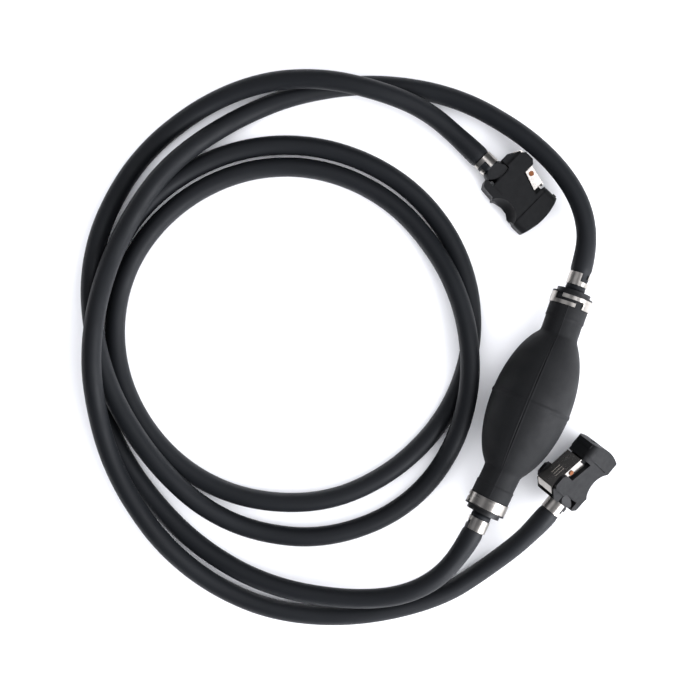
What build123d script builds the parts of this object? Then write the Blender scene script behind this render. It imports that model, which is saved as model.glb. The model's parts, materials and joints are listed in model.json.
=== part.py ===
from build123d import *
import math
import os

os.makedirs("parts", exist_ok=True)

# Hand-squeezed primer bulb in a marine fuel line: a bulb with a one-way valve at each end,
# a short hose from the tank, a long hose to the engine and a quick coupler on each hose.
# Millimetres. +Y runs along the bulb towards the tank side (inlet), +Z is up, and the
# assembly lies coiled on the plane z = 0. The fuel flows towards -Y through the bulb.

# ---- hose ----
HOSE_R = 7.8                     # outside radius of 3/8 inch fuel hose
HOSE_BORE_R = 4.75

# ---- bulb ----
BULB_R = 32.0                    # greatest outside radius, and the height of the bulb's axis
BULB_SEMI = 65.0                 # semi-axis along Y of the elliptical body
BULB_WALL = 3.0
NECK_R = 15.6
NECK_BORE_R = 11.5
NECK_START, NECK_END = 48.0, 90.5
WALL_PATCH = (44.0, 19.0)        # half length and half height of each wall that is squeezed in
PATCH_GAP = 0.4
LEAN, LEAN_Y = 3.0, 58.0         # each neck leans towards -X by LEAN degrees from LEAN_Y outwards

# ---- end fittings and their valves ----
LIP_R, LIP_END = 16.4, 91.8      # thin lip that the bulb neck butts against
FLANGE_R, FLANGE_END = 13.6, 95.0
PLUG_START = 62.0                # inner end of the plug inside the neck
CHAMBER_R, CHAMBER_END = 8.5, 86.0
FUEL_BORE_R = 3.2
TAIL_LENGTH = 16.0               # barbed tail inside a hose
VALVE_DISC_R, VALVE_DISC_T = 6.5, 2.0
VALVE_STEM_R, VALVE_STEM_END = 1.4, 20.0
VALVE_GAP = 0.1                  # film between a closed valve disc and its seat
CAGE_START, CAGE_END = 15.0, 18.0
SEAT_T, SEAT_HOLE_R = 4.0, 3.6

# ---- clamps ----
BAND_T = 0.9
NECK_BAND_Y, NECK_BAND_W = 86.1, 8.4
HOSE_BAND_Y, HOSE_BAND_W = 104.8, 10.0
FINGER_ARC = 6.0                 # length of the gap beside each interlocking finger
EAR_H, EAR_W = 3.6, 5.6          # the pinched ear of each band

# ---- coupler, in its own frame: +X to the mouth, +Z the latch side, origin on the hose axis ----
# the body's middle plane lies BODY_OFFSET along +Y from the hose axis
BODY_OFFSET, BODY_HALF_W = 3.2, 11.0
MOUTH_X, MOUTH_BULGE = 48.2, 4.2
MOUTH_HALF_W, MOUTH_TOP, MOUTH_FOOT, MOUTH_R = 11.5, 19.0, -20.8, 5.0
NECK_ROOT_R, NECK_TIP_R, NECK_FLAT = 11.2, 8.5, 7.0    # cone between hose and body, cut flat
ENGINE_STOP, TANK_STOP = -6.0, -3.0                 # x where each coupler's hose ends
SOCKET_X, SOCKET_Z, SOCKET_R = -12.0, 3.5, 16.9     # curved end face that the neck sits in
SOCKET_GAP = 0.5
PORT_R, PORT_DEPTH_X = 4.5, 33.5
SEAL_R, SEAL_X, SEAL_GROOVE_R = 0.9, 44.0, 6.4      # O-ring section radius, place and groove
LOCK_BORE_R, LOCK_BORE_Z, LOCK_BORE_X = 3.0, 11.0, 35.0
LOCK_END_R, LOCK_END_X = 3.6, 24.0                  # wider blind end that frees the pin's groove
CHECK_R, CHECK_X = 5.2, 30.0
INSERT_R, INSERT_END = 6.6, 9.0
PIN_X, PIN_Z, PIN_R = 20.0, 19.0, 1.4
LEVER_T, LEVER_HALF_W = 1.2, 8.1
LEVER_BACK, LEVER_FRONT = (1.4, 27.3), (33.0, 19.8)
TAIL_END = (-2.4, 20.8)          # lower end of the thumb tab that slopes down behind the lever
GRIP_X = 15.0                    # middle of the lever's grip ribs
EAR_IN, EAR_PROUD = 8.6, 0.45    # inside faces of the guard ears, and how far they stand proud
RIB_HALF_W = 6.4
SCOOP_R, SCOOP_Z, SCOOP_OUT = 14.7, -24.6, 2.3      # finger scoops in the underside
SPRING_X, SPRING_FLOOR_Z, SPRING_TOP_Z = 8.5, 7.5, 23.4

# ---- where the two couplers lie ----
ENGINE_AT, ENGINE_HEADING = (-93.8, 160.2, BODY_OFFSET + MOUTH_HALF_W), -21.9
TANK_AT, TANK_HEADING, TANK_TILT = (52.6, -60.4, 23.1), 72.6, 45.0

# ---- the coil: (angle, radius, height) stations about its centre, anticlockwise from +X ----
COIL_CENTRE = (-198.0, -23.0)
LONG_COIL = [
    (306, 219, 22), (288, 203.5, 18), (270, 187, 12), (252, 174.5, 8), (234, 167, 8), (216, 163, 8),
    (198, 160, 8), (180, 159, 8), (162, 159, 8), (144, 157, 8), (126, 156, 8), (108, 155, 8),
    (90, 154, 8), (72, 154, 8), (54, 153, 8), (36, 151, 8), (18, 148, 8), (0, 144, 8),
    (-18, 140, 8), (-36, 138, 8), (-54, 138, 8), (-72, 137, 8), (-90, 138, 8), (-108, 139, 8),
    (-126, 140, 8), (-144, 142, 8), (-162, 143, 8), (-180, 143, 8), (-198, 141, 8),
    (-216, 139, 8), (-234, 138, 8), (-252, 137, 8), (-270, 136, 8), (-288, 136, 8),
    (-306, 136, 13), (-322, 139, 21), (-338, 144, 25), (-354, 151, 25), (-370, 159, 18),
    (-386, 166, 9), (-402, 168, 8), (-420, 167, 8), (-438, 162, 8), (-454, 156, 14),
    (-470, 149, 21), (-486, 147, 23.5), (-502, 150, 24.5), (-518, 156, 25), (-534, 166, 24.5),
    (-550, 177, 15), (-568, 189, 8), (-586, 198, 9), (-601, 204, 18), (-614, 206, 25),
    (-626, 207, 26), (-638, 211, 20),
]
SHORT_COIL = [
    (64, 246, 20), (78, 234, 12), (94, 215, 8), (110, 196, 8), (124, 182, 8), (138, 171, 17),
    (150, 164, 24.5), (162, 158, 25.5), (176, 154, 27), (188, 152, 36.5), (200, 153, 41.5),
    (212, 157, 41), (224, 163, 33), (236, 172, 27), (248, 182, 23.5), (262, 196.5, 19),
    (276, 212, 11), (290, 225, 8), (306, 235, 8), (322, 245, 8),
]


def coil_point(angle, radius, height):
    turn = math.radians(angle)
    x = COIL_CENTRE[0] + radius * math.cos(turn)
    y = COIL_CENTRE[1] + radius * math.sin(turn)
    return Vector(x, y, height)


def save(name, shape):
    """Writes one node, and says how big it is."""
    shape.label = name
    export_step(shape, f"parts/{name}.step")
    solids = shape.solids()
    print(f"{name}: {len(solids)} solid(s), {sum(s.volume for s in solids):.0f} mm3")


def on_bulb_axis(shape):
    """Lifts a shape made round the Y axis to the bulb's height."""
    return Pos(0, 0, BULB_R) * shape


def rod(radius, start, end):
    """A round bar along Y."""
    return Pos(0, (start + end) / 2, 0) * Rot(90, 0, 0) * Cylinder(radius, abs(end - start))


def bar_x(radius, start, end, z=0.0):
    """A round bar along X."""
    return Pos((start + end) / 2, 0, z) * Rot(0, 90, 0) * Cylinder(radius, end - start)


def spun(points):
    """A solid of revolution about Y from (radius, y) corners."""
    return revolve(make_face(Polyline(*points, close=True)), Axis.Y)


def slab(points, half_width, inner=0.0):
    """An XZ outline made solid between y = inner and y = half_width, or right across."""
    face = make_face(Polyline(*[(x, 0, z) for x, z in points], close=True))
    if inner == 0.0:
        return extrude(face, half_width, dir=(0, 1, 0), both=True)
    return extrude(Pos(0, inner, 0) * face, half_width - inner, dir=(0, 1, 0))


def both_sides(shape):
    return shape + mirror(shape, Plane.XZ)


def helix_spring(radius, wire_r, length, turns):
    """A compression spring along +Z from z = 0, wire included in its length."""
    rise = length - 2 * wire_r
    path = Pos(0, 0, wire_r) * Helix(rise / turns, rise, radius)
    section = Plane(path @ 0, z_dir=path % 0) * Circle(wire_r)
    return sweep(section, path)


# ---- bulb ----
def ellipsoid(radius, semi):
    arc = EllipticalCenterArc((0, 0), radius, semi, start_angle=-90, arc_size=180)
    return revolve(make_face(arc + Line((0, semi), (0, -semi))), Axis.Y)


def leaning(shape, sign):
    """Turns what belongs to one neck with it: sign is +1 at the inlet and -1 at the outlet."""
    pivot = Pos(0, sign * LEAN_Y, 0)
    return pivot * Rot(0, 0, sign * LEAN) * pivot.inverse() * shape


def patch_prism(grow):
    """An elliptical prism along +X that bounds one squeezed wall."""
    outline = Plane.YZ * Ellipse(WALL_PATCH[0] + grow, WALL_PATCH[1] + grow)
    return extrude(outline, BULB_R + 1)


def make_bulb():
    outer = ellipsoid(BULB_R, BULB_SEMI)
    cavity = ellipsoid(BULB_R - BULB_WALL, BULB_SEMI - BULB_WALL)
    for sign in (1, -1):
        outer += leaning(rod(NECK_R, sign * NECK_START, sign * NECK_END), sign)
        cavity += leaning(rod(NECK_BORE_R, sign * NECK_START, sign * (NECK_END + 1)), sign)
    skin = outer - cavity
    right = skin & patch_prism(0)
    holes = patch_prism(PATCH_GAP)
    shell = skin - holes - mirror(holes, Plane.YZ)
    save("bulb_shell", on_bulb_axis(shell))
    save("bulb_wall_right", on_bulb_axis(right))
    save("bulb_wall_left", on_bulb_axis(Rot(0, 0, 180) * right))


# ---- end fittings ----
def barbs(first, step, count, root, tip):
    """Corners, as (radius, y), of saw-tooth barbs that rise towards +y from first."""
    corners = [(root, first)]
    for n in range(count):
        start = first + n * step
        corners += [(root, start + 0.4), (tip, start + 0.6), (root, start + step)]
    return corners


def make_fitting():
    """Plug, lip, flange and hose tail, with the fuel way and valve chamber bored out."""
    tail_end = FLANGE_END + TAIL_LENGTH
    points = [(0, PLUG_START), (NECK_BORE_R, PLUG_START), (NECK_BORE_R, 90.5), (LIP_R, 90.5)]
    points += [(LIP_R, LIP_END), (FLANGE_R, LIP_END), (FLANGE_R, FLANGE_END)]
    points += barbs(FLANGE_END, 4.5, 3, HOSE_BORE_R - 0.35, HOSE_BORE_R + 0.25)
    points += [(HOSE_BORE_R - 0.6, tail_end), (0, tail_end)]
    grip = Pos(0, 76, 0) * Rot(90, 0, 0) * Torus(NECK_BORE_R - 0.4, 0.7)
    grips = grip + Pos(0, -7, 0) * grip + Pos(0, 7, 0) * grip
    body = spun(points) + grips
    body -= rod(CHAMBER_R, PLUG_START - 1, CHAMBER_END)
    return body - rod(FUEL_BORE_R, CHAMBER_END - 1, tail_end + 1)


def make_poppet():
    """Valve disc and stem, closed against a seat at y = 0 and opening towards +y."""
    disc = rod(VALVE_DISC_R, VALVE_GAP, VALVE_GAP + VALVE_DISC_T)
    return disc + rod(VALVE_STEM_R, VALVE_GAP + VALVE_DISC_T, VALVE_STEM_END)


def make_cage():
    """Spoked ring that guides the stem and backs the spring."""
    rim = rod(CHAMBER_R, CAGE_START, CAGE_END) - rod(CHAMBER_R - 1.4, CAGE_START, CAGE_END)
    hub = rod(3.6, CAGE_START, CAGE_END)
    middle = (CAGE_START + CAGE_END) / 2
    spoke = Pos(0, middle, 0) * Box(2 * CHAMBER_R - 1.0, CAGE_END - CAGE_START, 1.6)
    cage = rim + hub + spoke + Rot(0, 60, 0) * spoke + Rot(0, 120, 0) * spoke
    return cage - rod(VALVE_STEM_R + 0.1, CAGE_START - 1, CAGE_END + 1)


def make_valve_spring():
    length = CAGE_START - VALVE_GAP - VALVE_DISC_T - 0.1
    spring = helix_spring(2.9, 0.3, length, 5)
    return Pos(0, VALVE_GAP + VALVE_DISC_T + 0.05, 0) * Rot(-90, 0, 0) * spring


def make_seat():
    ring = rod(CHAMBER_R, -SEAT_T, 0) - rod(SEAT_HOLE_R, -SEAT_T - 1, 1)
    return ring - Pos(0, -SEAT_T, 0) * Rot(90, 0, 0) * Cone(SEAT_HOLE_R, 6.5, 3)


def make_end(name, sign, seat_y):
    """One end of the bulb: sign is +1 at the inlet, seat_y is where its valve seats."""
    fitting = make_fitting()
    if sign < 0:
        fitting = mirror(fitting, Plane.XZ)
    flow = Pos(0, seat_y, 0) * Rot(180, 0, 0)      # the valve opens towards -Y at both ends
    pieces = {
        "fitting": fitting,
        "valve_poppet": flow * make_poppet(),
        "valve_spring": flow * make_valve_spring(),
        "valve_cage": flow * make_cage(),
    }
    if sign < 0:
        pieces["valve_seat"] = flow * make_seat()
    for piece, shape in pieces.items():
        save(f"{name}_{piece}", on_bulb_axis(leaning(shape, sign)))


# ---- clamps ----
def sector(radius, start, end, low, high):
    """A wedge round Z between two angles and two heights."""
    wedge = make_face(
        Polyline(
            (0, 0),
            *[
                (radius * math.cos(math.radians(a)), radius * math.sin(math.radians(a)))
                for a in (start, (start + end) / 2, end)
            ],
            close=True,
        )
    )
    return extrude(Pos(0, 0, low) * wedge, high - low)


def ear_clamp(radius, width, fingers, ear):
    """A band round Z with two interlocking fingers and a pinched ear.

    fingers is the pair of angles where the finger tips end, and ear is where the ear stands.
    """
    band_r = radius + BAND_T
    gap = math.degrees(FINGER_ARC / radius)
    slit = 0.14 * width
    ring = Cylinder(band_r, width) + Rot(0, 0, ear) * (
        Pos(band_r + EAR_H / 2 - 0.5, 0, 0) * Box(EAR_H + 1.0, EAR_W, width)
    )
    ring -= Cylinder(radius, width + 1)
    ring -= Rot(0, 0, ear) * Pos(band_r + EAR_H / 2 - BAND_T, 0, 0) * Box(
        EAR_H + 1.0, EAR_W - 2 * BAND_T, width + 1
    )
    low_tip, high_tip = fingers
    ring -= sector(2 * band_r, low_tip - gap, low_tip, slit, width)
    ring -= sector(2 * band_r, low_tip - gap, high_tip + gap, -slit, slit)
    return ring - sector(2 * band_r, high_tip, high_tip + gap, -width, -slit)


def make_bulb_clamps():
    """One clamp on each neck and one on each hose end. Angle 90 is the top."""
    turned = {
        "neck": (NECK_R, NECK_BAND_W, NECK_BAND_Y, {1: ((82, 126), 270), -1: ((195, 239), 300)}),
        "hose": (HOSE_R, HOSE_BAND_W, HOSE_BAND_Y, {1: ((13, 43), 270), -1: ((185, 215), 300)}),
    }
    for name, (radius, width, band_y, angles) in turned.items():
        pair = []
        for sign, (fingers, ear) in angles.items():
            clamp = Pos(0, sign * band_y, 0) * Rot(90, 0, 0) * ear_clamp(radius, width, fingers, ear)
            pair.append(on_bulb_axis(leaning(clamp, sign)))
        save(f"bulb_{name}_clamps", pair[0] + pair[1])


# ---- coupler ----
def rounded_bar(half_w, low, high, radius, start, end):
    """A bar along X whose cross-section has rounded corners."""
    outline = Plane.YZ * Pos(0, (low + high) / 2) * RectangleRounded(2 * half_w, high - low, radius)
    return extrude(Pos(start, 0, 0) * outline, end - start)


def bar_y(radius, x, z, half_length):
    """A round bar along Y."""
    return Pos(x, 0, z) * Rot(90, 0, 0) * Cylinder(radius, 2 * half_length)


def make_barrel():
    """The grip behind the mouth: two finger ridges below, scooped out between them."""
    barrel = slab(
        [
            (5, -9.5), (-1.6, -9.5), (-2.6, -11.5), (-0.2, -15.4), (2, -16.0), (11, -16.6),
            (12.8, -18.8), (14.6, -17.4), (22, -16.6), (28, -17.4), (32, -20.4), (34.4, -20.6),
            (36, -19.8), (40, -20.2), (40, 18.7), (34.5, 18.7), (34.5, 9), (16.5, 14.5), (3, 14.5),
        ],
        BODY_HALF_W,
    )
    barrel &= rounded_bar(BODY_HALF_W, -21.5, 19.5, 6.0, -4, 41)
    scoop = Pos(25, BODY_HALF_W + SCOOP_OUT, SCOOP_Z) * Sphere(SCOOP_R)
    groove = slab([(37.4, -12), (38.2, -12), (38.2, 7), (37.4, 7)], BODY_HALF_W + 1, BODY_HALF_W - 0.7)
    return barrel - both_sides(scoop) - both_sides(groove)


def make_mouth():
    """The mouth block, a little wider than the barrel, with a bulged face and a lip."""
    peak = (MOUTH_X + MOUTH_BULGE, 0, (MOUTH_TOP + MOUTH_FOOT) / 2)
    bulge = ThreePointArc((MOUTH_X, 0, MOUTH_FOOT), peak, (MOUTH_X, 0, MOUTH_TOP))
    back = Polyline(
        (MOUTH_X, 0, MOUTH_TOP), (38.2, 0, MOUTH_TOP), (38.2, 0, MOUTH_FOOT),
        (MOUTH_X, 0, MOUTH_FOOT),
    )
    mouth = extrude(make_face(bulge + back), MOUTH_HALF_W, dir=(0, 1, 0), both=True)
    mouth &= rounded_bar(MOUTH_HALF_W, MOUTH_FOOT, MOUTH_TOP, MOUTH_R, 38, 54)
    return mouth + Pos(45.6, 0, MOUTH_TOP - 0.6) * Box(3.2, 15, 2.8)


def make_guards():
    """Two ears on raised side plates beside the lever, and recessed walls beside its thumb tab."""
    ear = slab(
        [(2.2, 8), (2.2, 24.5), (4.8, 27.6), (12.8, 27.6), (15.9, 24.6), (15.9, 12), (15.9, 8)],
        BODY_HALF_W + EAR_PROUD, EAR_IN,
    )
    plate = slab(
        [(5.4, -9.5), (15.9, -9.5), (15.9, 9), (5.4, 9)], BODY_HALF_W + EAR_PROUD, BODY_HALF_W - 1
    )
    wall = slab([(2.3, 9.7), (-4.6, 9.7), (-4.6, 16.2), (0.9, 25.2), (2.3, 25.2)], EAR_IN + 1.3, EAR_IN)
    floor = slab([(4.9, 9.7), (-4.6, 9.7), (-4.6, 11.9), (4.9, 11.9)], EAR_IN + 0.1)
    return both_sides(ear + plate + wall) + floor


def make_coupler_body():
    """Moulded body, made about its own middle plane and then set beside the hose axis."""
    body = make_barrel() + make_mouth() + make_guards()
    # latch pocket: the cheeks of the lever straddle a rib that carries the pin
    pocket = slab([(16.5, 14.5), (34.5, 9), (34.5, 21), (16.5, 21)], BODY_HALF_W + 1, RIB_HALF_W)
    rib = slab([(16.5, 12), (34.5, 8), (34.5, 15.6), (16.5, 15.6)], RIB_HALF_W)
    boss = bar_y(2.3, PIN_X, PIN_Z, RIB_HALF_W)
    web = Pos(PIN_X, 0, PIN_Z - 2.2) * Box(4.6, 2 * RIB_HALF_W, 4.4)
    body = body - both_sides(pocket) + rib + boss + web
    body -= bar_y(PIN_R, PIN_X, PIN_Z, RIB_HALF_W + 0.5)
    body -= Pos(32.9, 0, 15) * Box(3.2, 7.4, 8)                       # slot for the latch tooth
    body -= bar_y(SOCKET_R, SOCKET_X, SOCKET_Z, BODY_HALF_W + 1) & Pos(0, 0, -0.2) * Box(60, 60, 19.6)
    body -= bar_x(LOCK_BORE_R, LOCK_BORE_X - 1, 54, LOCK_BORE_Z)
    body -= bar_x(LOCK_END_R, LOCK_END_X, LOCK_BORE_X, LOCK_BORE_Z)
    drill_point = Rot(0, -90, 0) * Cone(LOCK_END_R, 0.5, 1.5)
    body -= Pos(LOCK_END_X - 0.75, 0, LOCK_BORE_Z) * drill_point
    body -= Pos(SPRING_X, 0, SPRING_FLOOR_Z + 5) * Cylinder(3.4, 10)
    body = Pos(0, BODY_OFFSET, 0) * body
    # on the hose axis: fuel port with its seal groove, valve chamber and the insert's bore
    body -= bar_x(PORT_R, PORT_DEPTH_X, 54) + bar_x(3.0, CHECK_X - 1, PORT_DEPTH_X + 1)
    body -= bar_x(SEAL_GROOVE_R, SEAL_X - SEAL_R - 0.2, SEAL_X + SEAL_R + 0.2)
    return body - bar_x(CHECK_R, 4, CHECK_X) - bar_x(INSERT_R, -6, INSERT_END)


def make_coupler_insert(stop):
    """Insert: stub in the body, a neck that fills the socket, and the barbed tail from x = stop."""
    stub = spun([(0, -INSERT_END), (INSERT_R, -INSERT_END), (INSERT_R, 0), (0, 0)])
    neck = spun([(0, -6), (NECK_ROOT_R, -6), (NECK_ROOT_R, 0), (NECK_TIP_R, -stop), (0, -stop)])
    tail = [(0, -stop)] + barbs(-stop, 4.5, 3, HOSE_BORE_R - 0.35, HOSE_BORE_R + 0.25)
    tail += [(HOSE_BORE_R - 0.6, TAIL_LENGTH - stop), (0, TAIL_LENGTH - stop)]
    along_x = Rot(0, 0, 90)
    neck = along_x * neck & bar_y(SOCKET_R - SOCKET_GAP, SOCKET_X, SOCKET_Z, 2 * NECK_ROOT_R)
    neck &= Pos(0, NECK_ROOT_R - NECK_FLAT, 0) * Box(60, 2 * NECK_ROOT_R, 18.8)
    insert = along_x * stub + neck + along_x * spun(tail)
    return insert - bar_x(FUEL_BORE_R, stop - TAIL_LENGTH - 1, INSERT_END + 1)


def lever_height(x):
    """Height of the lever's top face at x."""
    (x0, z0), (x1, z1) = LEVER_BACK, LEVER_FRONT
    return z0 + (z1 - z0) * (x - x0) / (x1 - x0)


def make_lever():
    """Steel channel: sloping plate, two cheeks, a thumb tab bent down behind and the latch tooth."""
    x0, x1 = LEVER_BACK[0], LEVER_FRONT[0]
    plate = slab(
        [
            (x0, lever_height(x0)), (x1, lever_height(x1)), (x1, lever_height(x1) - LEVER_T),
            (x0, lever_height(x0) - LEVER_T),
        ],
        LEVER_HALF_W,
    )
    cheek = slab(
        [
            (6, lever_height(6) - 0.5), (6, 20.5), (14, 17.1), (17, 16.2), (31.2, 11),
            (31.2, lever_height(31.2) - 0.5),
        ],
        LEVER_HALF_W, LEVER_HALF_W - LEVER_T,
    )
    tx, tz = TAIL_END
    tab = slab(
        [(x0, lever_height(x0)), (tx, tz), (tx + 1.0, tz - 0.7), (x0 + 1.5, lever_height(x0) - LEVER_T)],
        LEVER_HALF_W,
    )
    tooth = slab([(x1 - LEVER_T, 12.8), (x1, 13.4), (x1, 19.2), (x1 - LEVER_T, 19.2)], 3.2)
    lever = plate + both_sides(cheek) + tab + tooth
    slope = math.degrees(math.atan2(LEVER_BACK[1] - LEVER_FRONT[1], x1 - x0))
    for row in (-2.6, 0.0, 2.6):                  # grip ribs pressed out of the plate
        lever += Pos(GRIP_X, row, lever_height(GRIP_X)) * Rot(0, slope, 0) * Box(9, 0.9, 0.3)
    return Pos(0, BODY_OFFSET, 0) * (lever - bar_y(PIN_R + 0.05, PIN_X, PIN_Z, 15))


def make_pin():
    shank = Cylinder(PIN_R, 2 * LEVER_HALF_W + 0.4)
    head = Cylinder(2.0, 0.7)
    offset = LEVER_HALF_W + 0.45
    pin = shank + Pos(0, 0, offset) * head + Pos(0, 0, -offset) * head
    return Pos(PIN_X, BODY_OFFSET, PIN_Z) * Rot(90, 0, 0) * pin


def make_coupler(name, frame, stop, fingers, ear):
    """Every piece of one coupler, moved from the coupler's own frame to where it lies.

    stop is where its hose ends; fingers and ear turn its hose clamp, from -Z towards +Y.
    """
    spring_length = SPRING_TOP_Z - SPRING_FLOOR_Z - 0.1
    valve = bar_x(4.7, 28, CHECK_X - 0.1) + bar_x(2.2, CHECK_X - 0.2, 37) + bar_x(1.6, 20, 28)
    clamp = ear_clamp(HOSE_R, HOSE_BAND_W, fingers, ear)
    along_x = Rot(0, 90, 0)
    pieces = {
        "body": make_coupler_body(),
        "barb_insert": make_coupler_insert(stop),
        "latch_lever": make_lever(),
        "latch_pin": make_pin(),
        "latch_spring": Pos(SPRING_X, BODY_OFFSET, SPRING_FLOOR_Z + 0.05)
        * helix_spring(2.7, 0.35, spring_length, 6),
        "port_valve": valve,
        "port_spring": Pos(INSERT_END + 0.05, 0, 0) * along_x
        * helix_spring(3.9, 0.35, 28 - INSERT_END - 0.1, 6),
        "port_o_ring": Pos(SEAL_X, 0, 0) * along_x * Torus(SEAL_GROOVE_R - SEAL_R - 0.05, SEAL_R),
        "hose_clamp": Pos(stop - 5.8, 0, 0) * along_x * clamp,
    }
    for piece, shape in pieces.items():
        save(f"{name}_{piece}", frame.location * shape)


def heading(degrees):
    turn = math.radians(degrees)
    return Vector(math.cos(turn), math.sin(turn), 0)


def tilted_latch(degrees, tilt):
    """The latch direction of a coupler heading that way and rolled by tilt from upright."""
    roll = math.radians(tilt)
    return heading(degrees + 90) * math.sin(roll) + Vector(0, 0, math.cos(roll))


ENGINE_FRAME = Plane(ENGINE_AT, x_dir=heading(ENGINE_HEADING), z_dir=heading(ENGINE_HEADING + 90))
TANK_FRAME = Plane(TANK_AT, x_dir=heading(TANK_HEADING), z_dir=tilted_latch(TANK_HEADING, TANK_TILT))


# ---- hoses ----
def corner_radius(before, corner, after):
    """The largest arc that its two runs leave room for."""
    turn = (corner - before).get_angle(after - corner)
    shorter = min((corner - before).length, (after - corner).length)
    return 0.45 * shorter / math.tan(math.radians(turn) / 2)


def make_hose(name, route):
    radii = [corner_radius(*route[n : n + 3]) for n in range(len(route) - 2)]
    path = FilletPolyline(*route, radius=radii)
    start = Plane(route[0], z_dir=route[1] - route[0])
    hose = sweep(start * Circle(HOSE_R), path) - sweep(start * Circle(HOSE_BORE_R), path)
    section = math.pi * (HOSE_R**2 - HOSE_BORE_R**2)
    print(f"{name}: {path.length:.0f} mm long, radii {min(radii):.0f} to {max(radii):.0f} mm")
    print(f"{name}: section x length {section * path.length:.0f} mm3, solid {hose.volume:.0f} mm3")
    save(name, hose)


def on_neck(sign, y):
    """A point on the leaning axis of one neck, y along the bulb before it leans."""
    beyond, turn = y - LEAN_Y, math.radians(LEAN)
    return Vector(-beyond * math.sin(turn), sign * (LEAN_Y + beyond * math.cos(turn)), BULB_R)


def make_hoses():
    to_engine = [
        on_neck(-1, FLANGE_END), on_neck(-1, 134), Vector(-25, -174, 28),
        *[coil_point(*station) for station in LONG_COIL],
        ENGINE_FRAME.from_local_coords((-41, 0, 0)),
        ENGINE_FRAME.from_local_coords((ENGINE_STOP, 0, 0)),
    ]
    from_tank = [
        on_neck(1, FLANGE_END), on_neck(1, 126), Vector(-18, 157, 30), Vector(-47, 181, 26),
        *[coil_point(*station) for station in SHORT_COIL],
        Vector(22, -134, 10),
        TANK_FRAME.from_local_coords((-36, 0, 0)),
        TANK_FRAME.from_local_coords((TANK_STOP, 0, 0)),
    ]
    make_hose("engine_hose", to_engine)
    make_hose("tank_hose", from_tank)


make_bulb()
make_end("inlet", 1, CHAMBER_END)
make_end("outlet", -1, -(PLUG_START + SEAT_T))
make_bulb_clamps()
make_coupler("engine_coupler", ENGINE_FRAME, ENGINE_STOP, (-42, -12), 90)
make_coupler("tank_coupler", TANK_FRAME, TANK_STOP, (-54, -24), 45)
make_hoses()
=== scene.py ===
import json
import math

import bmesh
import bpy
from mathutils import Matrix, Vector


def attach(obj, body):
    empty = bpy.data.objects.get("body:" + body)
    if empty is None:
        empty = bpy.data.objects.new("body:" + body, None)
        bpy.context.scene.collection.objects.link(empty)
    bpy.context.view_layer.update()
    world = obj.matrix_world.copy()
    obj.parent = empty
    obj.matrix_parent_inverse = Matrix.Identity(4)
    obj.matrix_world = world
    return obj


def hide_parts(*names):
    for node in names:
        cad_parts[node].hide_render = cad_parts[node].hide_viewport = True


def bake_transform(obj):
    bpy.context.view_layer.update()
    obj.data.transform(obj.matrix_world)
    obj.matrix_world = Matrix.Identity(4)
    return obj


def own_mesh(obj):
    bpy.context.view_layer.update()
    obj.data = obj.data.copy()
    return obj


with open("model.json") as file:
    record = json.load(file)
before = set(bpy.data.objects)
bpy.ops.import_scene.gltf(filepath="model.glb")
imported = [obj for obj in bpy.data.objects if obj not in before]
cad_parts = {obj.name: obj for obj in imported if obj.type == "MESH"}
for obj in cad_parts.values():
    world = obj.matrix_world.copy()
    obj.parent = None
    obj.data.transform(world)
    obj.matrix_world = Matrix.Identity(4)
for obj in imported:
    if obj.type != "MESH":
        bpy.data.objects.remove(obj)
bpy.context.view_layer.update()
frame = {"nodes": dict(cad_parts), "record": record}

# ---- sizes, in metres, as the CAD model has them ----
HOSE_R, HOSE_BORE_R = 0.0078, 0.00475
BULB_R, BULB_SEMI, BULB_WALL = 0.032, 0.065, 0.003
NECK_R, NECK_BORE_R, NECK_END = 0.0156, 0.0115, 0.0905
LEAN, LEAN_Y = math.radians(3.0), 0.058      # each neck leans towards -X from LEAN_Y outwards
SEAM_ROLL = math.radians(12)                 # turn of the parting seam from the top towards -X
FLANGE_END = 0.095
BODY_OFFSET = 0.0032             # from a coupler's hose axis to its middle plane
HOSE_STOP_X = {"engine": -0.006, "tank": -0.003}         # where a hose ends in its coupler's frame
CLAMP_AT_BULB = (0.0048, 0.0148)      # along the hose from its end, where its clamp grips it
CLAMP_AT_COUPLER = (0.0008, 0.0108)

# ---- how a clamp shapes the hose ----
HOSE_AROUND, HOSE_BORE_AROUND = 40, 24         # vertices round a hose, outside and in its bore
HOSE_END_FLARE, CLAMP_DENT = 0.0003, 0.0001    # beyond its clamp, and under it
SWELL, SWELL_RISE = 0.00075, 0.0035            # height behind a clamp, and where it is reached
SWELL_HOLD, SWELL_FADE = 0.006, 0.026          # where it starts to fade, and over what length

# ---- the bulb's finer shape ----
BULB_ROWS, ARC_STEPS = 242, 52                 # rows along the bulb, steps across half of it
LEAN_STARTS, LEAN_OVER = 0.050, 0.014          # where the lean begins, and over what length
ROOT_DROP = 0.0005                             # a neck's root below the seat of its band
SEAT_AT, SEAT_STEP = 0.0705, 0.0008
RING_AT, RING_HEIGHT, RING_WIDTH = 0.0720, 0.00025, 0.0005
NECK_END_ROUND, NECK_END_DROP = 0.0012, 0.0006
BODY_FILLET = 0.0012                           # how softly the body runs into a neck
BEAD_HEIGHT, BEAD_WIDTH = 0.0006, 0.0016       # the raised line round the bulb's middle
SEAM_END = 0.0815
STRIP_HEIGHT, STRIP_HALF_W, STRIP_EDGE = 0.00016, 0.0012, 0.0008
SEAM_DEPTH, SEAM_EXTRA_DEPTH, SEAM_WIDTH = 0.00025, 0.0003, 0.00034
SEAM_DEEPENS_AT, SEAM_DEEPENS_OVER = 0.008, 0.012
BESIDE_SEAM_MM = [0, 0.15, 0.3, 0.45, 0.65, 0.9, 1.2, 1.4, 1.6, 1.8, 2.0, 2.4, 3.0, 4.0, 5.2]

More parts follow.
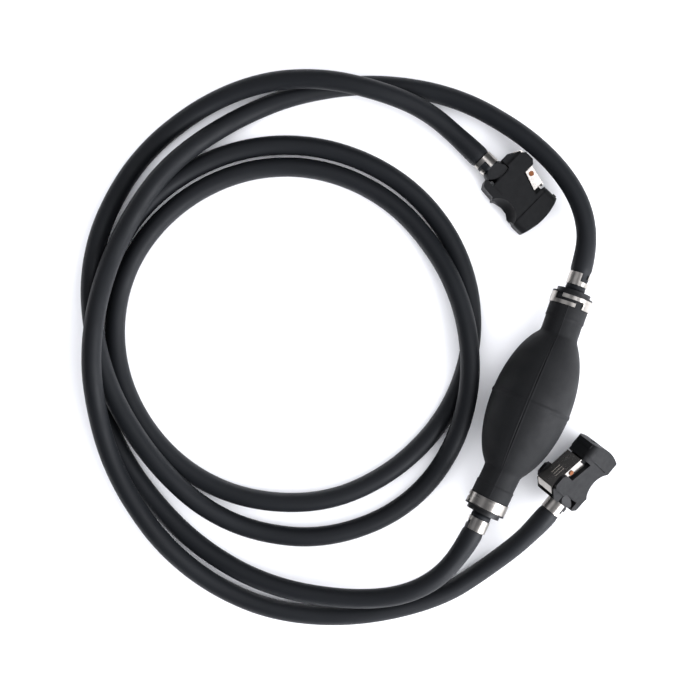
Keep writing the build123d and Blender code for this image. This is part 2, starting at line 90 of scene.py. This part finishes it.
# ---- springs: mean radius, wire radius, length at rest, turns, travel of the joint ----
VALVE_SPRING = (0.0029, 0.0003, 0.0128, 5, 0.003)
LATCH_SPRING = (0.0027, 0.00035, 0.0158, 6, 0.0026)
PORT_SPRING = (0.0039, 0.00035, 0.0189, 6, 0.0035)
VALVE_SPRING_Y = {"inlet": 0.071, "outlet": -0.081}      # fixed end along the bulb, before it leans
LATCH_POCKET = (0.0085, BODY_OFFSET, 0.00755)  # fixed ends in a coupler's frame
PORT_SPRING_STOP = (0.00905, 0, 0)
SPRING_AROUND, STEPS_PER_TURN = 12, 36
END_CLOSING = 0.6                              # 0 for an even pitch, 1 for end turns that touch

# ---- where the two couplers lie: origin, heading and roll of the latch side from upright ----
COUPLERS = {
    "engine": (Vector((-0.0938, 0.1602, 0.0147)), -21.9, 90.0),
    "tank": (Vector((0.0526, -0.0604, 0.0231)), 72.6, 45.0),
}

# ---- the coil: (angle, radius, height) stations about its centre, anticlockwise from +X ----
COIL_CENTRE = (-0.198, -0.023)
LONG_COIL = [
    (306, 0.219, 0.022), (288, 0.203, 0.018), (270, 0.187, 0.012), (252, 0.174, 0.008),
    (234, 0.167, 0.008), (216, 0.163, 0.008), (198, 0.160, 0.008), (180, 0.159, 0.008),
    (162, 0.159, 0.008), (144, 0.157, 0.008), (126, 0.156, 0.008), (108, 0.155, 0.008),
    (90, 0.154, 0.008), (72, 0.154, 0.008), (54, 0.153, 0.008), (36, 0.151, 0.008),
    (18, 0.148, 0.008), (0, 0.144, 0.008), (-18, 0.140, 0.008), (-36, 0.138, 0.008),
    (-54, 0.138, 0.008), (-72, 0.137, 0.008), (-90, 0.138, 0.008), (-108, 0.139, 0.008),
    (-126, 0.140, 0.008), (-144, 0.142, 0.008), (-162, 0.143, 0.008), (-180, 0.143, 0.008),
    (-198, 0.141, 0.008), (-216, 0.139, 0.008), (-234, 0.138, 0.008), (-252, 0.137, 0.008),
    (-270, 0.136, 0.008), (-288, 0.136, 0.008), (-306, 0.136, 0.013), (-322, 0.139, 0.021),
    (-338, 0.144, 0.025), (-354, 0.151, 0.025), (-370, 0.159, 0.018), (-386, 0.166, 0.009),
    (-402, 0.168, 0.008), (-420, 0.167, 0.008), (-438, 0.162, 0.008), (-454, 0.156, 0.014),
    (-470, 0.149, 0.021), (-486, 0.147, 0.0235), (-502, 0.150, 0.0245), (-518, 0.156, 0.025),
    (-534, 0.166, 0.0245), (-550, 0.177, 0.015), (-568, 0.189, 0.008), (-586, 0.198, 0.009),
    (-601, 0.204, 0.018), (-614, 0.206, 0.025), (-626, 0.207, 0.026), (-638, 0.211, 0.02),
]
SHORT_COIL = [
    (64, 0.246, 0.02), (78, 0.234, 0.012), (94, 0.215, 0.008), (110, 0.196, 0.008),
    (124, 0.182, 0.008), (138, 0.171, 0.017), (150, 0.164, 0.0245), (162, 0.158, 0.0255),
    (176, 0.154, 0.027), (188, 0.152, 0.0365), (200, 0.153, 0.0415), (212, 0.157, 0.041),
    (224, 0.163, 0.033), (236, 0.172, 0.027), (248, 0.182, 0.0235), (262, 0.197, 0.019),
    (276, 0.212, 0.011), (290, 0.225, 0.008), (306, 0.235, 0.008), (322, 0.245, 0.008),
]

# ---- how the hoses run between the coil, the bulb and the couplers ----
NECK_RUN = {"outlet": 0.134, "inlet": 0.126}             # where a hose leaves the line of its neck
BY_OUTLET = [(-0.025, -0.174, 0.028)]
BY_INLET = [(-0.018, 0.157, 0.030), (-0.047, 0.181, 0.026)]
BY_TANK_COUPLER = [(0.022, -0.134, 0.010)]
COUPLER_RUN_X = {"engine": -0.041, "tank": -0.036}       # where a hose comes into its coupler's line

# ---- camera: straight above, turned so that the bulb leans as it does in the picture ----
CAMERA_AT = (-0.1482, -0.0157, 1.120)
CAMERA_TURN = math.radians(22.5)
CAMERA_FOV = math.radians(28.56)


def make_camera():
    data = bpy.data.cameras.new("camera")
    data.angle = CAMERA_FOV
    data.dof.use_dof = False
    camera = bpy.data.objects.new("camera", data)
    camera.location = CAMERA_AT
    camera.rotation_euler = (0, 0, CAMERA_TURN)
    bpy.context.collection.objects.link(camera)
    bpy.context.scene.camera = camera


# ---- small helpers ----
def smooth(t):
    """Smooth step from 0 to 1."""
    t = min(max(t, 0.0), 1.0)
    return t * t * (3 - 2 * t)


def new_object(name, verts, faces, smooth_faces=True):
    mesh = bpy.data.meshes.new(name)
    mesh.from_pydata([tuple(v) for v in verts], [], faces)
    mesh.polygons.foreach_set("use_smooth", [smooth_faces] * len(mesh.polygons))
    mesh.update()
    piece = bpy.data.objects.new(name, mesh)
    bpy.context.collection.objects.link(piece)
    return piece


def ring_faces(count, around, closed=True):
    """Quads that join rings of vertices, each ring around vertices long."""
    faces = []
    steps = around if closed else around - 1
    for n in range(count - 1):
        for k in range(steps):
            a, b = n * around + k, n * around + (k + 1) % around
            faces.append((a, a + around, b + around, b))
    return faces


def turned_inwards(faces, offset):
    """The same faces the other way round, on vertices that start at offset."""
    return [tuple(offset + v for v in reversed(face)) for face in faces]


def coupler_frame(name):
    """A matrix from a coupler's own frame, +X to its mouth and +Z its latch side, to the row's."""
    origin, heading, tilt = COUPLERS[name]
    turn, roll = math.radians(heading), math.radians(tilt)
    x = Vector((math.cos(turn), math.sin(turn), 0))
    side = Vector((-math.sin(turn), math.cos(turn), 0))
    z = side * math.sin(roll) + Vector((0, 0, math.cos(roll)))
    y = z.cross(x)
    return Matrix.Translation(origin) @ Matrix((x, y, z)).transposed().to_4x4()


# ---- hoses ----
def coil_point(angle, radius, height):
    turn = math.radians(angle)
    x = COIL_CENTRE[0] + radius * math.cos(turn)
    return Vector((x, COIL_CENTRE[1] + radius * math.sin(turn), height))


def smooth_line(name, route):
    """Points along the smooth spline that has the route as its control points."""
    data = bpy.data.curves.new(name + "_route", "CURVE")
    data.dimensions = "3D"
    data.resolution_u = 24
    spline = data.splines.new("NURBS")
    spline.points.add(len(route) - 1)
    for point, place in zip(spline.points, route):
        point.co = (*place, 1.0)
    spline.order_u = 3
    spline.use_endpoint_u = True
    curve = bpy.data.objects.new(name + "_route", data)
    bpy.context.collection.objects.link(curve)
    bpy.context.view_layer.update()
    mesh = bpy.data.meshes.new_from_object(curve)
    points = [v.co.copy() for v in mesh.vertices]
    bpy.data.objects.remove(curve)
    bpy.data.meshes.remove(mesh)
    bpy.data.curves.remove(data)
    if (points[0] - Vector(route[0])).length > (points[-1] - Vector(route[0])).length:
        points.reverse()
    return [p for n, p in enumerate(points) if n == 0 or (p - points[n - 1]).length > 1e-6]


def carried_frames(points):
    """At each point, two directions across the line that don't twist along it."""
    tangents = []
    for n in range(len(points)):
        step = points[min(n + 1, len(points) - 1)] - points[max(n - 1, 0)]
        tangents.append(step.normalized())
    side = tangents[0].cross(Vector((0, 0, 1))).normalized()
    frames = []
    for tangent in tangents:
        side = (side - tangent * side.dot(tangent)).normalized()
        frames.append((side, side.cross(tangent)))
    return frames


def swell(along, grip):
    """How much a hose stands out behind the clamp that grips it between two places."""
    start, end = grip
    if along < start:
        return HOSE_END_FLARE * math.sin(math.pi * min(max(along / start, 0), 1))
    if along < end:
        return -CLAMP_DENT
    behind = along - end
    fade = smooth((behind - SWELL_HOLD) / SWELL_FADE)
    return SWELL * smooth(behind / SWELL_RISE) * (1 - fade)


def make_hose(name, route):
    """A hollow hose from the bulb to a coupler, swollen behind the clamp at each of its ends."""
    points = smooth_line(name, route)
    frames = carried_frames(points)
    along = [0.0]
    for a, b in zip(points, points[1:]):
        along.append(along[-1] + (b - a).length)
    total = along[-1]
    outer, inner = [], []
    for point, (side, up), s in zip(points, frames, along):
        radius = HOSE_R + swell(s, CLAMP_AT_BULB) + swell(total - s, CLAMP_AT_COUPLER)
        for k in range(HOSE_AROUND):
            turn = 2 * math.pi * k / HOSE_AROUND
            outer.append(point + (side * math.cos(turn) + up * math.sin(turn)) * radius)
        for k in range(HOSE_BORE_AROUND):
            turn = 2 * math.pi * k / HOSE_BORE_AROUND
            inner.append(point + (side * math.cos(turn) + up * math.sin(turn)) * HOSE_BORE_R)
    faces = ring_faces(len(points), HOSE_AROUND)
    faces += turned_inwards(ring_faces(len(points), HOSE_BORE_AROUND), len(outer))
    piece = new_object(name, outer + inner, faces)
    cap_ends(piece, len(points))
    lay_on_uv(piece, along)
    return piece, points


def cap_ends(piece, count):
    """Closes the wall of a hose, count rings long, at both of its ends."""
    mesh = bmesh.new()
    mesh.from_mesh(piece.data)
    mesh.verts.ensure_lookup_table()
    bore = HOSE_AROUND * count
    for ring in (0, count - 1):
        outer = [mesh.verts[ring * HOSE_AROUND + k] for k in range(HOSE_AROUND)]
        start = bore + ring * HOSE_BORE_AROUND
        inner = [mesh.verts[start + k] for k in range(HOSE_BORE_AROUND)]
        edges = [mesh.edges.get((a, b)) for a, b in zip(outer, outer[1:] + outer[:1])]
        edges += [mesh.edges.get((a, b)) for a, b in zip(inner, inner[1:] + inner[:1])]
        bmesh.ops.bridge_loops(mesh, edges=edges)
    bmesh.ops.recalc_face_normals(mesh, faces=mesh.faces)
    mesh.to_mesh(piece.data)
    mesh.free()
    piece.data.polygons.foreach_set("use_smooth", [True] * len(piece.data.polygons))


def lay_on_uv(piece, along):
    """UV in metres: U along the hose, V round it, so that a material can run with the hose."""
    mesh = piece.data
    layer = mesh.uv_layers.new(name="along_hose")
    for polygon in mesh.polygons:
        for loop in polygon.loop_indices:
            vertex = mesh.loops[loop].vertex_index
            ring, step = divmod(vertex, HOSE_AROUND)
            if ring < len(along):
                layer.data[loop].uv = (along[ring], step / HOSE_AROUND * 2 * math.pi * HOSE_R)


def on_neck(sign, y):
    """A point on the leaning axis of one neck, y along the bulb before it leans."""
    beyond = y - LEAN_Y
    return Vector((-beyond * math.sin(LEAN), sign * (LEAN_Y + beyond * math.cos(LEAN)), BULB_R))


def neck_matrix(y):
    """The turn that leans the neck on y's side of the bulb."""
    pivot = Vector((0, math.copysign(LEAN_Y, y), 0))
    turn = Matrix.Rotation(math.copysign(LEAN, y), 4, "Z")
    return Matrix.Translation(pivot) @ turn @ Matrix.Translation(-pivot)


def into_coupler(name):
    """The last two control points of a hose, on the axis of its coupler."""
    coupler = coupler_frame(name)
    return [coupler @ Vector((x, 0, 0)) for x in (COUPLER_RUN_X[name], HOSE_STOP_X[name])]


def hose_routes():
    to_engine = [on_neck(-1, FLANGE_END), on_neck(-1, NECK_RUN["outlet"])]
    to_engine += [Vector(place) for place in BY_OUTLET]
    to_engine += [coil_point(*station) for station in LONG_COIL]
    to_engine += into_coupler("engine")
    from_tank = [on_neck(1, FLANGE_END), on_neck(1, NECK_RUN["inlet"])]
    from_tank += [Vector(place) for place in BY_INLET]
    from_tank += [coil_point(*station) for station in SHORT_COIL]
    from_tank += [Vector(place) for place in BY_TANK_COUPLER]
    from_tank += into_coupler("tank")
    return to_engine, from_tank


# ---- materials ----
LOW, HIGH = 0.3, 0.7             # the noise values that a ramp of two stops runs between


class Nodes:
    """A short way to write a material's nodes."""

    def __init__(self, name):
        self.material = bpy.data.materials.new(name)
        self.material.use_nodes = True
        self.tree = self.material.node_tree
        self.shader = self.tree.nodes["Principled BSDF"]
        self.coordinates = self.tree.nodes.new("ShaderNodeTexCoord")

    def add(self, kind, **inputs):
        node = self.tree.nodes.new(kind)
        for key, value in inputs.items():
            node.inputs[key.replace("_", " ")].default_value = value
        return node

    def join(self, out, into):
        self.tree.links.new(out, into)

    def noise(self, scale, detail=3.0, stretch=(1, 1, 1), source="Object"):
        place = self.add("ShaderNodeMapping", Scale=stretch)
        self.join(self.coordinates.outputs[source], place.inputs["Vector"])
        texture = self.add("ShaderNodeTexNoise", Scale=scale, Detail=detail)
        self.join(place.outputs["Vector"], texture.inputs["Vector"])
        return texture.outputs["Fac"]

    def ramp(self, source, stops):
        """A colour ramp from (place, value or colour) stops."""
        node = self.add("ShaderNodeValToRGB")
        elements = node.color_ramp.elements
        while len(elements) < len(stops):
            elements.new(0.5)
        for element, (place, value) in zip(elements, stops):
            element.position = place
            colour = value if isinstance(value, tuple) else (value,) * 3
            element.color = (*colour, 1)
        self.join(source, node.inputs["Fac"])
        return node.outputs["Color"]

    def colour(self, source):
        self.join(source, self.shader.inputs["Base Color"])

    def roughness(self, source, low, high):
        self.join(self.ramp(source, [(LOW, low), (HIGH, high)]), self.shader.inputs["Roughness"])

    def bump(self, heights, strength=0.5, distance=0.0001):
        """Stacks (source, share) heights into one bump."""
        previous = None
        for source, share in heights:
            node = self.add("ShaderNodeBump", Strength=strength * share, Distance=distance)
            self.join(source, node.inputs["Height"])
            if previous:
                self.join(previous, node.inputs["Normal"])
            previous = node.outputs["Normal"]
        self.join(previous, self.shader.inputs["Normal"])


def rubber(
    name, dark, light, scale, low, high, grain, specular, source="Object", stretch=(1, 1, 1)
):
    """Rubber or plastic: two shades, roughness from low to high, and a fine grain."""
    nodes = Nodes(name)
    cloud = nodes.noise(scale, 4.0, stretch, source)
    nodes.colour(nodes.ramp(cloud, [(LOW, dark), (HIGH, light)]))
    nodes.roughness(nodes.noise(scale * 3, 5.0, stretch, source), low, high)
    broad = nodes.noise(scale * 2, 2.0, stretch, source)
    nodes.bump([(broad, 0.6), (nodes.noise(grain, 2.0), 0.4)], 0.4, 0.0002)
    nodes.shader.inputs["Specular IOR Level"].default_value = specular
    return nodes.material


def metal(name, dark, light, low, high, brush):
    """Metal whose brush lines run across the largest axis of brush, roughness from low to high."""
    nodes = Nodes(name)
    cloud = nodes.noise(90.0, 3.0)
    nodes.colour(nodes.ramp(cloud, [(LOW, dark), (HIGH, light)]))
    nodes.shader.inputs["Metallic"].default_value = 1.0
    lines = nodes.noise(60.0, 4.0, brush)
    nodes.roughness(lines, low, high)
    nodes.bump([(lines, 1.0)], 0.08, 0.00003)
    return nodes.material


RUBBERS = {                      # dark, light, noise scale, roughness from and to, grain, specular
    "hose_rubber": (
        (0.0090, 0.0105, 0.0130), (0.0125, 0.0145, 0.0175), 60.0, 0.52, 0.66, 3500.0, 0.36,
        "UV", (0.25, 1, 1)
    ),
    "bulb_rubber": (
        (0.0105, 0.0110, 0.0120), (0.0140, 0.0146, 0.0156), 25.0, 0.66, 0.78, 3000.0, 0.40
    ),
    "coupler_plastic": (
        (0.0088, 0.0091, 0.0098), (0.0120, 0.0124, 0.0132), 70.0, 0.60, 0.72, 2600.0, 0.34
    ),
    "fitting_plastic": (
        (0.0080, 0.0083, 0.0090), (0.0110, 0.0113, 0.0120), 80.0, 0.42, 0.55, 2600.0, 0.40
    ),
    "seal_rubber": (
        (0.0080, 0.0080, 0.0080), (0.0110, 0.0110, 0.0110), 90.0, 0.40, 0.55, 4000.0, 0.40
    ),
    "valve_plastic": ((0.72, 0.70, 0.64), (0.80, 0.79, 0.74), 60.0, 0.35, 0.50, 2500.0, 0.5),
}
METALS = {                       # dark, light, roughness from and to, brush
    "clamp_steel": ((0.44, 0.415, 0.38), (0.54, 0.51, 0.47), 0.26, 0.38, (1, 8, 1)),
    "lever_steel": ((0.48, 0.455, 0.42), (0.58, 0.55, 0.51), 0.18, 0.28, (1, 1, 6)),
    "spring_steel": ((0.50, 0.50, 0.49), (0.62, 0.61, 0.60), 0.25, 0.38, (1, 1, 1)),
    "pin_copper": ((0.24, 0.085, 0.035), (0.36, 0.15, 0.075), 0.30, 0.45, (1, 1, 1)),
}


def make_materials():
    """The materials by slot name, which the frame's own materials already have in Blender."""
    made = {name: rubber(name, *look) for name, look in RUBBERS.items()}
    made.update({name: metal(name, *look) for name, look in METALS.items()})
    return made


# ---- bulb ----
def neck_radius(y):
    """The neck's radius: a thinner root, a fine ring and the seat of the band."""
    root = NECK_R - ROOT_DROP
    step = ROOT_DROP * smooth((y - SEAT_AT) / SEAT_STEP)
    ring = RING_HEIGHT * math.exp(-((y - RING_AT) / RING_WIDTH) ** 2)
    end = NECK_END_DROP * smooth((y - NECK_END + NECK_END_ROUND) / NECK_END_ROUND)
    return root + step + ring - end


def bulb_radius(y):
    """The bulb's outside radius at y, rounded where the body meets the neck."""
    y = abs(y)
    body = BULB_R * math.sqrt(max(0.0, 1 - (y / BULB_SEMI) ** 2))
    neck = neck_radius(y)
    union = 0.5 * (body + neck + math.sqrt((body - neck) ** 2 + BODY_FILLET**2))
    if y > BULB_SEMI:
        union = neck
    bead = BEAD_HEIGHT * math.exp(-(y / BEAD_WIDTH) ** 6)
    return union + bead


def seam_height(from_seam, y):
    """The parting seam: a fine groove in a low, flat strip that runs the length of the bulb."""
    if abs(y) > SEAM_END:
        return 0.0
    strip = STRIP_HEIGHT * (1 - smooth((from_seam - STRIP_HALF_W) / STRIP_EDGE))
    deeper = smooth((abs(y) - SEAM_DEEPENS_AT) / SEAM_DEEPENS_OVER)
    depth = SEAM_DEPTH + SEAM_EXTRA_DEPTH * deeper
    return strip - depth * math.exp(-(from_seam / SEAM_WIDTH) ** 2)


def seam_angles():
    """Angles across half a bulb, dense beside the seam at each end."""
    edge = [math.pi / 2 - d / 1000 / BULB_R for d in BESIDE_SEAM_MM]
    middle = [edge[-1] * (1 - 2 * n / ARC_STEPS) for n in range(1, ARC_STEPS)]
    return edge + middle + [-a for a in reversed(edge)]


def on_bulb(across, y, up):
    """Rolls a point of the bulb with the seam, leans it with its neck, keeps it off the floor."""
    x = across * math.cos(SEAM_ROLL) - up * math.sin(SEAM_ROLL)
    z = BULB_R + across * math.sin(SEAM_ROLL) + up * math.cos(SEAM_ROLL)
    share = smooth((abs(y) - LEAN_STARTS) / LEAN_OVER)
    place = Vector((x, y, max(z, 0.0)))
    return place.lerp(neck_matrix(y) @ place, share)


def make_bulb_half(name, side):
    """The half of the hollow bulb on one side of the mould's parting plane."""
    rows = BULB_ROWS
    ys = [-NECK_END + 2 * NECK_END * n / (rows - 1) for n in range(rows)]
    angles = seam_angles()
    columns = len(angles)
    outer, inner = [], []
    for y in ys:
        radius = bulb_radius(y)
        inside = radius - BULB_WALL
        if abs(y) > BULB_SEMI - BULB_WALL:
            inside = NECK_BORE_R
        inside = max(inside, NECK_BORE_R)
        for angle in angles:
            r = radius + seam_height(BULB_R * (math.pi / 2 - abs(angle)), y)
            outer.append(on_bulb(side * math.cos(angle) * r, y, math.sin(angle) * r))
            inner.append(on_bulb(side * math.cos(angle) * inside, y, math.sin(angle) * inside))
    faces = ring_faces(rows, columns, closed=False)
    offset = len(outer)
    faces += turned_inwards(faces, offset)
    for n in range(rows - 1):                     # the wall's two edges on the parting plane
        for k in (0, columns - 1):
            a, b = n * columns + k, (n + 1) * columns + k
            faces.append((a, b, offset + b, offset + a))
    for n in (0, rows - 1):                       # and its two ends
        for k in range(columns - 1):
            a, b = n * columns + k, n * columns + k + 1
            faces.append((a, b, offset + b, offset + a))
    piece = new_object(name, outer + inner, faces)
    tidy_normals(piece)
    return piece


def tidy_normals(piece, sharp=math.radians(40)):
    mesh = bmesh.new()
    mesh.from_mesh(piece.data)
    bmesh.ops.recalc_face_normals(mesh, faces=mesh.faces)
    for edge in mesh.edges:
        if len(edge.link_faces) == 2 and edge.calc_face_angle(0) > sharp:
            edge.smooth = False
    mesh.to_mesh(piece.data)
    mesh.free()


def make_bulb(materials):
    for name, side in (("right", 1), ("left", -1)):
        piece = make_bulb_half(f"bulb_skin_{name}", side)
        piece.data.materials.append(materials["bulb_rubber"])
        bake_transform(piece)
        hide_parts(f"bulb_wall_{name}", "bulb_shell")


# ---- springs ----
def helix_mesh(name, radius, wire_r, length, turns):
    """A closed-end compression spring along +Z from z = 0."""
    steps = int(turns * STEPS_PER_TURN)
    free = length - 2 * wire_r
    points = []
    for n in range(steps + 1):
        t = n / steps
        risen = t - END_CLOSING * math.sin(2 * math.pi * t) / (2 * math.pi)
        angle = 2 * math.pi * turns * t
        place = (radius * math.cos(angle), radius * math.sin(angle), wire_r + free * risen)
        points.append(Vector(place))
    verts = []
    for point, (side, up) in zip(points, carried_frames(points)):
        for k in range(SPRING_AROUND):
            turn = 2 * math.pi * k / SPRING_AROUND
            verts.append(point + (side * math.cos(turn) + up * math.sin(turn)) * wire_r)
    faces = ring_faces(len(points), SPRING_AROUND)
    last = SPRING_AROUND * (len(points) - 1)
    faces.append(tuple(range(SPRING_AROUND)))
    faces.append(tuple(last + k for k in reversed(range(SPRING_AROUND))))
    piece = new_object(name, verts, faces)
    tidy_normals(piece)
    return piece


def spring_places():
    """(node, joint, spring, matrix of its fixed end with +Z along it) of each spring."""
    places = []
    for name, y in VALVE_SPRING_Y.items():
        fixed = neck_matrix(y) @ Matrix.Translation((0, y, BULB_R))
        fixed = fixed @ Matrix.Rotation(-math.pi / 2, 4, "X")
        places.append((f"{name}_valve_spring", f"{name}_valve_lift", VALVE_SPRING, fixed))
    for name in COUPLERS:
        coupler = coupler_frame(name)
        pocket = coupler @ Matrix.Translation(LATCH_POCKET)
        places.append((f"{name}_coupler_latch_spring", f"{name}_latch_lift", LATCH_SPRING, pocket))
        stop = coupler @ Matrix.Translation(PORT_SPRING_STOP)
        stop = stop @ Matrix.Rotation(math.pi / 2, 4, "Y")
        places.append((f"{name}_coupler_port_spring", f"{name}_port_valve_push", PORT_SPRING, stop))
    return places


def make_springs(materials):
    made = {}
    for node, joint, (radius, wire, length, turns, travel), place in spring_places():
        piece = helix_mesh(f"{node}_wire", radius, wire, length, turns)
        piece.data.transform(place)
        piece.data.materials.append(materials["spring_steel"])
        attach(piece, "root")
        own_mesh(piece)
        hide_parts(node)
        made[node] = piece
    return made


# ---- CAD nodes that stay: rounded edges and their own materials ----
EDGES = {
    "inlet_fitting": 0.0003, "outlet_fitting": 0.0003,
    "bulb_neck_clamps": 0.00022, "bulb_hose_clamps": 0.00022,
    "coupler_body": 0.0006, "coupler_barb_insert": 0.0003, "coupler_latch_lever": 0.00025,
    "coupler_latch_pin": 0.00015, "coupler_hose_clamp": 0.00022,
}


def finish_cad_nodes(materials):
    slots = {part["node"]: part["material_slot"] for part in frame["record"]["subparts"]}
    for node, piece in frame["nodes"].items():
        if piece.hide_render:
            continue
        piece.data.materials.clear()
        piece.data.materials.append(materials[slots[node]])
        width = EDGES.get(node, EDGES.get(node.split("_", 1)[1], 0))
        if width:
            bevel = piece.modifiers.new("rounded_edges", "BEVEL")
            bevel.width = width
            bevel.segments = 3
            bevel.limit_method = "ANGLE"
            bevel.angle_limit = math.radians(32)
            bevel.harden_normals = True


# ---- floor and light ----
FLOOR_HALF = 4
LIGHTS = [                       # name, place, size and power in watts
    ("key", (1.12, -0.30, 0.74), (1.2, 0.9), 30.0),
    ("top", (0.25, 0.55, 1.5), (0.7, 0.5), 4.0),
    ("fill", (-0.9, 0.4, 1.1), (1.0, 1.0), 2.0),
]


def make_stage():
    h = FLOOR_HALF
    corners = [(-h, -h, 0), (h, -h, 0), (h, h, 0), (-h, h, 0)]
    floor = new_object("floor", corners, [(0, 1, 2, 3)], smooth_faces=False)
    nodes = Nodes("floor")
    nodes.colour(nodes.ramp(nodes.noise(3.0), [(LOW, 0.93), (HIGH, 0.95)]))
    nodes.shader.inputs["Roughness"].default_value = 0.9
    nodes.shader.inputs["Specular IOR Level"].default_value = 0.0
    floor.data.materials.append(nodes.material)
    return floor


def area_light(name, place, size, power, target=(-0.12, 0, 0)):
    data = bpy.data.lights.new(name, "AREA")
    data.shape = "RECTANGLE"
    data.size, data.size_y = size
    data.energy = power
    data.color = (0.97, 0.98, 1.03)
    light = bpy.data.objects.new(name, data)
    light.location = place
    direction = Vector(target) - Vector(place)
    light.rotation_euler = direction.to_track_quat("-Z", "Y").to_euler()
    bpy.context.collection.objects.link(light)
    return light


def make_lights(floor):
    world = bpy.data.worlds.new("studio")
    bpy.context.scene.world = world
    world.use_nodes = True
    background = world.node_tree.nodes["Background"]
    background.inputs["Color"].default_value = (0.92, 0.96, 1.08, 1)
    background.inputs["Strength"].default_value = 0.11
    for name, place, size, power in LIGHTS:
        area_light(name, place, size, power)
    # a wide overhead panel that lights only the floor, as a white sweep lit on its own
    sweep = area_light("sweep", (-0.15, 0, 1.7), (3.2, 3.2), 70.0, (-0.15, 0, 0))
    only = bpy.data.collections.new("floor_only")
    only.objects.link(floor)
    sweep.light_linking.receiver_collection = only
    bpy.context.scene.view_settings.view_transform = "Standard"


# ---- the whole ----
make_camera()
materials = make_materials()
to_engine, from_tank = hose_routes()
springs = make_springs(materials)
hoses = (
    ("engine_hose", "engine", to_engine, 2.789),
    ("tank_hose", "tank", from_tank, 1.155),
)
for node, name, route, length in hoses:
    hose, line = make_hose(f"{node}_rubber", route)
    hose.data.materials.append(materials["hose_rubber"])
    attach(hose, "root")
    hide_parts(node)
    on_hose = [
        piece for key, piece in frame["nodes"].items()
        if key.startswith(f"{name}_coupler") and not key.endswith("_spring")
    ]
    on_hose += [springs[f"{name}_coupler_latch_spring"], springs[f"{name}_coupler_port_spring"]]
make_bulb(materials)
finish_cad_nodes(materials)
make_lights(make_stage())
